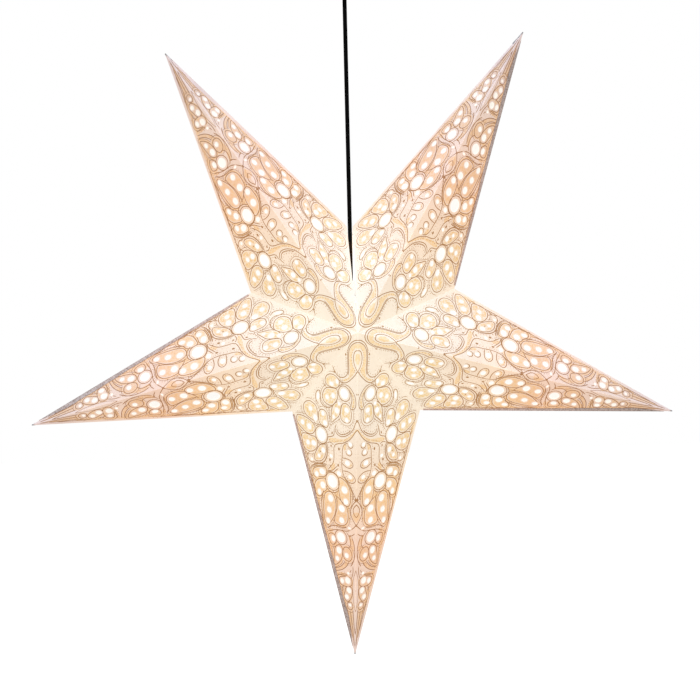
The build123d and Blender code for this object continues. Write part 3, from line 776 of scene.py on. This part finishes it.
def ribbon(line, closed, width):
    """A line's ink as short four-sided pieces; an open line thins towards its ends."""
    count = len(line)
    left, right = [], []
    for index, place in enumerate(line):
        ahead = line[(index + 1) % count] if closed or index + 1 < count else place
        behind = line[index - 1] if closed or index > 0 else place
        direction = (ahead - behind).normalized()
        side = Vector((-direction.y, direction.x))
        half = width / 2
        if not closed and index in (0, count - 1):
            half = width / LINE_END_THINNING
        left.append(place + side * half)
        right.append(place - side * half)
    spans = count if closed else count - 1
    pieces = []
    for index in range(spans):
        after = (index + 1) % count
        pieces.append([left[index], left[after], right[after], right[index]])
    return pieces


def is_convex(loop):
    """Whether a closed line turns the same way at every corner."""
    turns = []
    for index, place in enumerate(loop):
        before = place - loop[index - 1]
        after = loop[(index + 1) % len(loop)] - place
        turns.append(before.x * after.y - before.y * after.x)
    return min(turns) > LEAST_TURN or max(turns) < -LEAST_TURN


class Cutting:
    """Outlines laid on one panel, each tagged with what it is, then cut into faces where they cross."""

    def __init__(self):
        self.places = []
        self.outlines = []
        self.tags = []

    def lay(self, loop, tag):
        """Adds a closed outline, turned so that its inside is on its left."""
        turned = sum(a.x * b.y - b.x * a.y for a, b in zip(loop, loop[1:] + loop[:1]))
        first = len(self.places)
        self.places.extend(loop if turned > 0 else list(reversed(loop)))
        self.outlines.append(list(range(first, first + len(loop))))
        self.tags.append(tag)

    def draw(self, line, closed, width=INK_WIDTH):
        for piece in ribbon(line, closed, width):
            if is_convex(piece):
                self.lay(piece, "ink")

    def by_cell(self):
        """The outlines that reach into each small square of the sheet, with their tags."""
        cells = {}
        for outline, tag in zip(self.outlines, self.tags):
            loop = [self.places[index] for index in outline]
            across = [math.floor(place.x / CELL) for place in loop]
            up = [math.floor(place.y / CELL) for place in loop]
            for column in range(min(across), max(across) + 1):
                for row in range(min(up), max(up) + 1):
                    cells.setdefault((column, row), []).append((tag, loop))
        return cells

    def cut(self):
        """Places, triangles and each triangle's finish; the die-cut holes are left open."""
        places, _, faces, _, _, _ = delaunay_2d_cdt(self.places, [], self.outlines, 0, CUT_TOLERANCE)
        cells = self.by_cell()
        kept, finishes = [], []
        for face in faces:
            middle = sum((places[index] for index in face), Vector((0, 0))) / len(face)
            near = cells.get((math.floor(middle.x / CELL), math.floor(middle.y / CELL)), [])
            found = {tag for tag, loop in near if is_inside(middle, loop)}
            if "sheet" not in found or "hole" in found:
                continue
            kept.append(face)
            if "rim" in found:
                finishes.append("paper")
            elif "ink" in found:
                finishes.append("ink")
            elif "mottled" in found:
                finishes.append("mottled")
            elif "ochre" in found or ("halo" in found and "petal" not in found):
                finishes.append("ochre")
            else:
                finishes.append("paper")
        return places, kept, finishes


def is_inside(place, loop):
    """Whether a place lies inside a closed line."""
    inside = False
    for a, b in zip(loop, loop[1:] + loop[:1]):
        if (a.y > place.y) != (b.y > place.y):
            if place.x < a.x + (b.x - a.x) * (place.y - a.y) / (b.y - a.y):
                inside = not inside
    return inside


def outset(loop, amount):
    """A closed line moved away from its middle by the amount."""
    middle = sum(loop, Vector((0, 0))) / len(loop)
    return [place + (place - middle).normalized() * amount for place in loop]


def clear_runs(loop, others):
    """The stretches of a closed line that keep inside the sheet and outside the other outlines."""
    runs = [[]]
    for place in loop + loop[:1]:
        clear = RIDGE_CLEAR < place.y < room_at(place.x) - SIDE_CLEAR
        if clear and not any(is_inside(place, other) for other in others):
            runs[-1].append(place)
        elif runs[-1]:
            runs.append([])
    return [run for run in runs if len(run) > 2]


def spaced(run, spacing):
    """Places about evenly spaced along a line."""
    gone = 0.0
    row = []
    for a, b in zip(run, run[1:]):
        gone += (b - a).length
        if gone >= spacing:
            gone = 0.0
            row.append(b)
    return row


def stipple(cutting, line, offset, others):
    """A row of dots beside an open line, on its left, where nothing else is printed."""
    beside = []
    for a, b in zip(line, line[1:]):
        along = (b - a).normalized()
        beside.append(a + Vector((-along.y, along.x)) * offset)
    for run in clear_runs(beside, others):
        for place in spaced(run, DOT_SPACING):
            cutting.lay(ellipse(place, DOT_RADIUS, DOT_RADIUS, DOT_STEPS), "ink")


def draw_petals(cutting, outlines, rings):
    """Each petal's line and fill, then an echo line and a row of dots where there is room round it."""
    for outline in outlines:
        middle = sum(outline, Vector((0, 0))) / len(outline)
        cutting.lay(outline, "petal")
        cutting.draw(outline, True)
        fill = inset(outline, FILL_INSET if middle.x < END_FROM else END_FILL_INSET)
        cutting.lay(fill, "mottled" if middle.x < HALO_FROM else "ochre")
        others = [other for other in outlines + rings if other is not outline]
        echo = outset(outline, ECHO)
        if middle.x > HALO_FROM:
            cutting.lay(outset(outline, HALO), "halo")
        for run in clear_runs(echo, others):
            cutting.draw(run, False, THIN_INK)
        dotted = outset(outline, ECHO + ECHO_TO_DOTS)
        for run in clear_runs(dotted, [outset(other, DOTS_CLEAR) for other in others]):
            for place in spaced(run, DOT_SPACING):
                cutting.lay(ellipse(place, DOT_RADIUS, DOT_RADIUS, DOT_STEPS), "ink")


def cut_sheet():
    """The printed, die-cut design of one panel."""
    cutting = Cutting()
    cutting.lay([Vector((0, 0)), Vector((RIDGE_LENGTH, 0)), Vector((NOTCH_U, NOTCH_V))], "sheet")
    for u, v, half_u, half_v in HOLES:
        share = BIG_HOLE_SHARE if half_u > BIG_HOLE else HOLE_SHARE
        half_u, half_v = half_u * share, half_v * share
        cutting.lay(ellipse((u, v), half_u, half_v, HOLE_STEPS), "hole")
        rim = ellipse((u, v), half_u + HOLE_RIM, half_v + HOLE_RIM, HOLE_STEPS)
        cutting.lay(rim, "rim")
    rings = [ellipse((u, v), half_u, half_v, RING_STEPS) for u, v, half_u, half_v in RINGS]
    for ring in rings:
        cutting.lay(ring, "petal")
        cutting.draw(ring, True)
    lens = smooth(LENS, True)
    cutting.lay(lens, "petal")
    cutting.draw(lens, True, THIN_INK)
    rings.append(lens)
    petals = [smooth(petal, True) for petal in PETALS]
    draw_petals(cutting, petals, rings)
    for fill in FILLS:
        cutting.lay(smooth(fill, True), "ochre")
    for points in LINES:
        line = smooth(points, False)
        cutting.draw(line, False)
        if line[0].x < STIPPLE_TO:
            stipple(cutting, line, STIPPLE_OFFSET, petals + rings)
    for u, v, radius in DOTS:
        cutting.lay(ellipse((u, v), radius, radius * PRINTED_DOT_FLATNESS, PRINTED_DOT_STEPS), "ink")
    columns = int(RIDGE_LENGTH / GRID_STEP)
    rows = int(NOTCH_V / GRID_STEP)
    for column in range(1, columns):
        for row in range(1, rows + 1):
            u, v = column * GRID_STEP, row * GRID_STEP
            if v < room_at(u) - GRID_STEP / 3:
                cutting.places.append(Vector((u, v)))
    return cutting.cut()


def room_at(u):
    """How far the sheet reaches from the ridge, at a place along it."""
    return min(u * NOTCH_V / NOTCH_U, (RIDGE_LENGTH - u) * NOTCH_V / (RIDGE_LENGTH - NOTCH_U))


def in_star(turn, radius):
    """A place in the star's middle plane: a radius along a direction turned from up."""
    angle = math.radians(turn)
    return HUB + Vector((radius * math.sin(angle), 0, radius * math.cos(angle)))


def corners(point, face, side):
    """Tip, hub and notch corners of one panel's flat triangle."""
    tip_across, tip_up = TIP_LEAN[point]
    tip = in_star(POINTS[point], TIP_RADIUS) + Vector((tip_across, 0, tip_up))
    hub = HUB + Vector((0, FACES[face] * HALF_DEPTH, 0))
    if (point, side) in SEAM_SIDES:
        height = SEAM_NOTCH_HEIGHT + SEAM_CORNER_LIFT
        return tip, hub, HUB + Vector((SEAM_SIDES[point, side] * SEAM_HALF_GAP, 0, height))
    turn = POINTS[point] + SIDES[side] * POINT_PITCH / 2
    for pair, (across, up) in NOTCH_LEAN.items():
        middle = (POINTS[pair[0]] + POINTS[pair[1]]) / 2
        if point in pair and abs(middle - turn) < 1:
            return tip, hub, in_star(turn, NOTCH_RADIUS) + Vector((across, 0, up))


def on_panel(triangle, outward, u, v, depth):
    """A place on the flat sheet laid on its panel in the star, set in from the sheet's middle by depth."""
    tip, hub, notch = triangle
    share_notch = v / NOTCH_V
    share_tip = (u - share_notch * NOTCH_U) / RIDGE_LENGTH
    share_hub = 1 - share_notch - share_tip
    # The product of the three shares is at most 1 / BOW_SCALE, in the middle of the panel.
    bow = BOW * BOW_SCALE * max(0, share_notch) * max(0, share_tip) * max(0, share_hub)
    return hub * share_hub + tip * share_tip + notch * share_notch + outward * (bow - depth)


def outward_of(triangle, face):
    tip, hub, notch = triangle
    normal = (tip - hub).cross(notch - hub).normalized()
    return normal if normal.y * FACES[face] > 0 else -normal


def sheet_mesh(name, triangle, outward, places, faces, depth):
    """A mesh of flat places laid on one panel, wound to face out, with its print place as UVs."""
    tip, hub, notch = triangle
    corner_turn = (tip - hub).cross(notch - hub).dot(outward)
    mesh = bpy.data.meshes.new(name)
    verts = [on_panel(triangle, outward, place[0], place[1], depth) for place in places]
    wound = [list(face) if corner_turn > 0 else list(reversed(face)) for face in faces]
    mesh.from_pydata(verts, [], wound)
    layer = mesh.uv_layers.new(name="print")
    for loop in mesh.loops:
        place = places[loop.vertex_index]
        layer.data[loop.index].uv = (place[0] / PRINT_SCALE, place[1] / PRINT_SCALE)
    mesh.update()
    return mesh


def thicken(piece, thickness):
    modifier = piece.modifiers.new("thickness", "SOLIDIFY")
    modifier.thickness = thickness
    modifier.offset = 0.0


def make_panel(point, face, side, design, finishes):
    """One printed panel, open at its die-cut holes."""
    places, faces, kinds = design
    name = f"{point}_{face}_{side}"
    triangle = corners(point, face, side)
    outward = outward_of(triangle, face)
    mesh = sheet_mesh(name + "_print", triangle, outward, places, faces, 0.0)
    for material in finishes.values():
        mesh.materials.append(material)
    order = list(finishes)
    mesh.polygons.foreach_set("material_index", [order.index(kind) for kind in kinds])
    piece = add_piece(name + "_print", mesh, name, "printed_paper", name)
    thicken(piece, PAPER_THICKNESS)
    return triangle, outward


def lining_places():
    """Places and faces of one plain sheet, in even columns across the panel, just inside its folds."""
    length = RIDGE_LENGTH - LINING_SHORT_OF_TIP - LINING_FROM
    places, faces = [], []
    for column in range(LINING_COLUMNS + 1):
        u = LINING_FROM + length * column / LINING_COLUMNS
        top = max(LINING_START, room_at(u) - LINING_MARGIN)
        for row in range(LINING_ROWS + 1):
            v = LINING_START + (top - LINING_START) * row / LINING_ROWS
            places.append(Vector((u, v)))
    for column in range(LINING_COLUMNS):
        for row in range(LINING_ROWS):
            first = column * (LINING_ROWS + 1) + row
            faces.append((first, first + LINING_ROWS + 1, first + LINING_ROWS + 2, first + 1))
    return places, faces


def make_lining(point, face, side, triangle, outward, sheet, material):
    """The tissue behind one panel."""
    places, faces = sheet
    name = f"{point}_{face}_{side}"
    mesh = sheet_mesh(name + "_tissue", triangle, outward, places, faces, LINING_GAP)
    mesh.materials.append(material)
    piece = add_piece(name + "_tissue", mesh, name, "printed_paper")
    thicken(piece, PAPER_THICKNESS / 3)


TAB_WIDTH = 4.6
TAB_THICKNESS = 0.0003
TAB_STEPS = 70
TAB_ROWS = 4
TAB_TAPER = 8
TAB_START = 0.012
TAB_RUN = 0.955
TAB_AT_NOTCH = 0.52
TAB_WIDENS = 0.75
TAB_WAVES = ((0.05, 23), (0.03, 61))


def make_tab(point, material):
    """The glue tab folded over a point's clockwise side fold onto its front, from notch to tip."""
    triangle = corners(point, "front", "cw")
    notch = Vector((NOTCH_U, NOTCH_V))
    edge = Vector((RIDGE_LENGTH, 0)) - notch
    inwards = Vector((edge.y, -edge.x)).normalized()
    (wave, turns), (ripple, ripples) = TAB_WAVES
    places, uvs, faces = [], [], []
    for step in range(TAB_STEPS + 1):
        share = step / TAB_STEPS
        waver = wave * math.sin(turns * share + len(point)) + ripple * math.sin(ripples * share)
        taper = min(1.0, (1 - share) * TAB_TAPER)
        width = TAB_WIDTH * taper * (TAB_AT_NOTCH + TAB_WIDENS * share + waver)
        for row in range(TAB_ROWS + 1):
            reach = row / TAB_ROWS
            start = notch + edge * (TAB_START + TAB_RUN * share)
            places.append(start + inwards * (width * reach))
            uvs.append((share, reach))
    for step in range(TAB_STEPS):
        for row in range(TAB_ROWS):
            first = step * (TAB_ROWS + 1) + row
            faces.append((first, first + 1, first + TAB_ROWS + 2, first + TAB_ROWS + 1))
    lift = PAPER_THICKNESS / 2 + TAB_THICKNESS
    mesh = sheet_mesh(f"{point}_tab", triangle, outward_of(triangle, "front"), places, faces, -lift)
    layer = mesh.uv_layers["print"]
    for loop in mesh.loops:
        layer.data[loop.index].uv = uvs[loop.vertex_index]
    mesh.materials.append(material)
    piece = add_piece(f"{point}_tab", mesh, f"{point}_front_cw", "printed_paper")
    thicken(piece, TAB_THICKNESS)


TIP_LENGTH = 0.0145
TIP_ROOT = (0.0029, 0.0030)
TIP_END = (0.0004, 0.0003)
TIP_LAYERS = 0.05
TIP_RINGS = 9
TIP_SIDES = 16
TIP_BODIES = {point: ("star" if point == "bottom" else f"{point}_point") for point in POINTS}


def make_tip(point, material):
    """The stiff end of a point: glued layers pinched to a needle, flatter and narrower towards its end."""
    end = corners(point, "front", "cw")[0]
    outward = (end - HUB).normalized()
    across = Vector((outward.z, 0, -outward.x))
    depth = Vector((0, 1, 0))
    bm = bmesh.new()
    rings = []
    for ring in range(TIP_RINGS):
        share = ring / (TIP_RINGS - 1)
        middle = end - outward * TIP_LENGTH * (1 - share)
        half_across = TIP_ROOT[0] * (1 - share) + TIP_END[0]
        half_depth = TIP_ROOT[1] * (1 - share) + TIP_END[1]
        places = []
        for step in range(TIP_SIDES):
            angle = 2 * math.pi * step / TIP_SIDES
            cosine, sine = math.cos(angle), math.sin(angle)
            pinch = 1 / (abs(cosine) + abs(sine))
            layer = 1 + TIP_LAYERS * math.sin(4 * angle + ring)
            sideways = across * (half_across * pinch * cosine * layer)
            forwards = depth * (half_depth * pinch * sine * layer)
            places.append(bm.verts.new(middle + sideways + forwards))
        rings.append(places)
    for low, high in zip(rings, rings[1:]):
        for step in range(TIP_SIDES):
            after = (step + 1) % TIP_SIDES
            bm.faces.new((low[step], low[after], high[after], high[step]))
    bm.faces.new(list(reversed(rings[0])))
    bm.faces.new(rings[-1])
    bmesh.ops.recalc_face_normals(bm, faces=bm.faces)
    mesh = bpy.data.meshes.new(f"{point}_needle")
    bm.to_mesh(mesh)
    bm.free()
    mesh.materials.append(material)
    add_piece(f"{point}_needle", mesh, TIP_BODIES[point], "tip_paper", f"{point}_tip")


THREAD_RADIUS = 0.00034
THREAD_TURNS = 5
THREAD_STEPS = 40
TIE_REACH = 0.009
TIE_DROP = 0.006
CORD_CLEARANCE = 0.0008


def make_tie(point, direction, body, material):
    """Two cotton strands twisted together, from under the fold beside the seam to the flex."""
    outer = HUB + Vector((direction * (SEAM_HALF_GAP + TIE_REACH), 0, SEAM_NOTCH_HEIGHT))
    inner = HUB + Vector((direction * (CORD_RADIUS + CORD_CLEARANCE), 0, SEAM_NOTCH_HEIGHT - TIE_DROP))
    along = (inner - outer).normalized()
    side = Vector((0, 1, 0))
    other = along.cross(side)
    data = bpy.data.curves.new(f"{point}_thread", "CURVE")
    data.dimensions = "3D"
    for strand in range(2):
        spline = data.splines.new("POLY")
        spline.points.add(THREAD_STEPS)
        for step in range(THREAD_STEPS + 1):
            share = step / THREAD_STEPS
            angle = 2 * math.pi * THREAD_TURNS * share + math.pi * strand
            swing = side * math.cos(angle) + other * math.sin(angle)
            place = outer.lerp(inner, share) + swing * THREAD_RADIUS
            spline.points[step].co = (*place, 1)
    data.bevel_depth = THREAD_RADIUS
    data.bevel_resolution = 3
    data.use_fill_caps = True
    data.materials.append(material)
    add_piece(f"{point}_thread", data, body, "cotton", f"{point}_tie")


# ---------------------------------------------------------------- stage and lights

FLOOR_DROP = 1.25
STAGE_REACH = 14.0
WORLD_LIGHT = 0.38
FLOOR_LIGHT = 0.12
BULB_LIGHT = 0.25
BULB_LIGHT_COLOUR = (1.0, 0.78, 0.50)
BULB_LIGHT_RADIUS = 0.01
BULB_LIGHT_DROP = 0.034

# Each lamp's name, place, size, power and colour.
LAMPS = [
    ("front_softbox", (-0.5, -2.0, 1.2), 1.6, 14.5, (0.94, 0.96, 1.0)),
    ("overhead_softbox", (0.1, -0.7, 1.7), 1.4, 19.0, (0.54, 0.70, 1.0)),
]


def make_stage():
    """A plain pale floor and soft, even studio light, a little stronger from above."""
    bpy.ops.mesh.primitive_plane_add(size=STAGE_REACH, location=(0, 0, -FLOOR_DROP))
    floor = bpy.context.active_object
    floor.name = "studio_floor"
    pale = Material("studio_floor")
    seen = pale.add("ShaderNodeLightPath", {}, "Is Camera Ray")
    pale.set(Base_Color=(0.55, 0.53, 0.50, 1), Roughness=0.9, Emission_Color=(1, 1, 1, 1))
    pale.set(Emission_Strength=pale.scaled(seen, 0.0, 1.0, FLOOR_LIGHT, 1.0))
    floor.data.materials.append(pale.data)
    world = bpy.data.worlds.new("studio")
    world.use_nodes = True
    nodes = world.node_tree.nodes
    path = nodes.new("ShaderNodeLightPath")
    level = nodes.new("ShaderNodeMapRange")
    level.inputs["To Min"].default_value = WORLD_LIGHT
    level.inputs["To Max"].default_value = 1.0
    world.node_tree.links.new(path.outputs["Is Camera Ray"], level.inputs["Value"])
    world.node_tree.links.new(level.outputs[0], nodes["Background"].inputs["Strength"])
    nodes["Background"].inputs["Color"].default_value = (1, 1, 1, 1)
    bpy.context.scene.world = world
    for name, place, size, power, colour in LAMPS:
        data = bpy.data.lights.new(name, "AREA")
        data.shape = "SQUARE"
        data.size = size
        data.energy = power
        data.color = colour
        lamp = add_object(name, data)
        lamp.location = place
        lamp.rotation_mode = "QUATERNION"
        lamp.rotation_quaternion = (Vector(place) - HUB).to_track_quat("Z", "Y")
    glow = bpy.data.lights.new("bulb_light", "POINT")
    glow.energy = BULB_LIGHT
    glow.color = BULB_LIGHT_COLOUR
    glow.shadow_soft_size = BULB_LIGHT_RADIUS
    lamp = add_object("bulb_light", glow)
    lamp.location = BULB_CENTRE + Vector((0, 0, -BULB_LIGHT_DROP))
    bpy.context.scene.view_settings.view_transform = "Standard"


# ---------------------------------------------------------------- the whole lantern


def finish_cad_nodes():
    """Procedural finishes for the CAD parts that show as they are."""
    steel = brushed("galvanised_steel", (0.60, 0.61, 0.62), 0.34, False)
    screw_steel = brushed("screw_steel", (0.56, 0.55, 0.53), 0.28)
    brass = brushed("brass", (0.80, 0.60, 0.30), 0.26)
    nickel = brushed("nickelled_cap", (0.74, 0.72, 0.68), 0.22)
    white = moulded("white_moulding", (0.80, 0.79, 0.76), 0.32, 0.05)
    clear = moulded("cord_clamp_nylon", (0.74, 0.74, 0.70), 0.38, 0.08)
    canopy = moulded("canopy_moulding", (0.82, 0.81, 0.79), 0.36, 0.04, scale=90.0)
    ceramic = moulded("glazed_ceramic", (0.86, 0.85, 0.82), 0.16, 0.06, 0.6)
    dark_glass = moulded("insulator_glass", (0.02, 0.02, 0.025), 0.12, 0.3, 0.6)
    stem_glass = moulded("stem_glass", (0.82, 0.84, 0.82), 0.10, 0.05, 0.6)
    finishes = {
        "ceiling_bracket": steel, "cord_clamp": clear, "clamp_screws": screw_steel, "terminal_block": white,
        "canopy": canopy, "grub_screw": screw_steel, "cord_grip": white, "holder_cap": white,
        "holder_sleeve": white, "holder_insert": ceramic, "terminal_screws": brass, "socket_shell": brass,
        "centre_contact": brass, "shade_ring": white, "bulb_cap": nickel, "bulb_insulator": dark_glass,
        "bulb_contact": brass, "bulb_stem": stem_glass, "bulb_glass": clear_glass(),
        "bulb_filaments": lit_filament(),
    }
    for name, material in finishes.items():
        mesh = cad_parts[name].data
        mesh.materials.clear()
        mesh.materials.append(material)


make_camera()
make_cord(flex_sheath())
make_stage()
finish_cad_nodes()

PRINT_FINISHES = {
    "paper": printed_paper("plain_print", PAPER_REFLECTS, (1.0, 1.0, 1.0), 0.6, 0.0),
    "ochre": printed_paper("ochre_print", (0.35, 0.37, 0.34), (1.0, 0.83, 0.48), 0.45, 0.5),
    "mottled": printed_paper("petal_print", (0.33, 0.34, 0.31), (0.95, 0.79, 0.38), 0.45, 1.0),
    "ink": printed_paper("brown_print", (0.16, 0.13, 0.10), (0.48, 0.31, 0.14), 0.3, 0.0),
}
design = cut_sheet()
lining = lining_places()
tissue_finish = tissue()
for point in POINTS:
    for face in FACES:
        for side in SIDES:
            triangle, outward = make_panel(point, face, side, design, PRINT_FINISHES)
            make_lining(point, face, side, triangle, outward, lining, tissue_finish)

tab_finish = tab_paper()
seam_tab_finish = printed_paper("seam_tab", PAPER_REFLECTS, (0.92, 0.86, 0.82), 0.6, 0.0)
tip_finish = tip_paper()
for point in POINTS:
    make_tab(point, seam_tab_finish if (point, "cw") in SEAM_SIDES else tab_finish)
    make_tip(point, tip_finish)

thread_finish = cotton_thread()
for (point, side), direction in SEAM_SIDES.items():
    make_tie(point, direction, f"{point}_front_{side}", thread_finish)
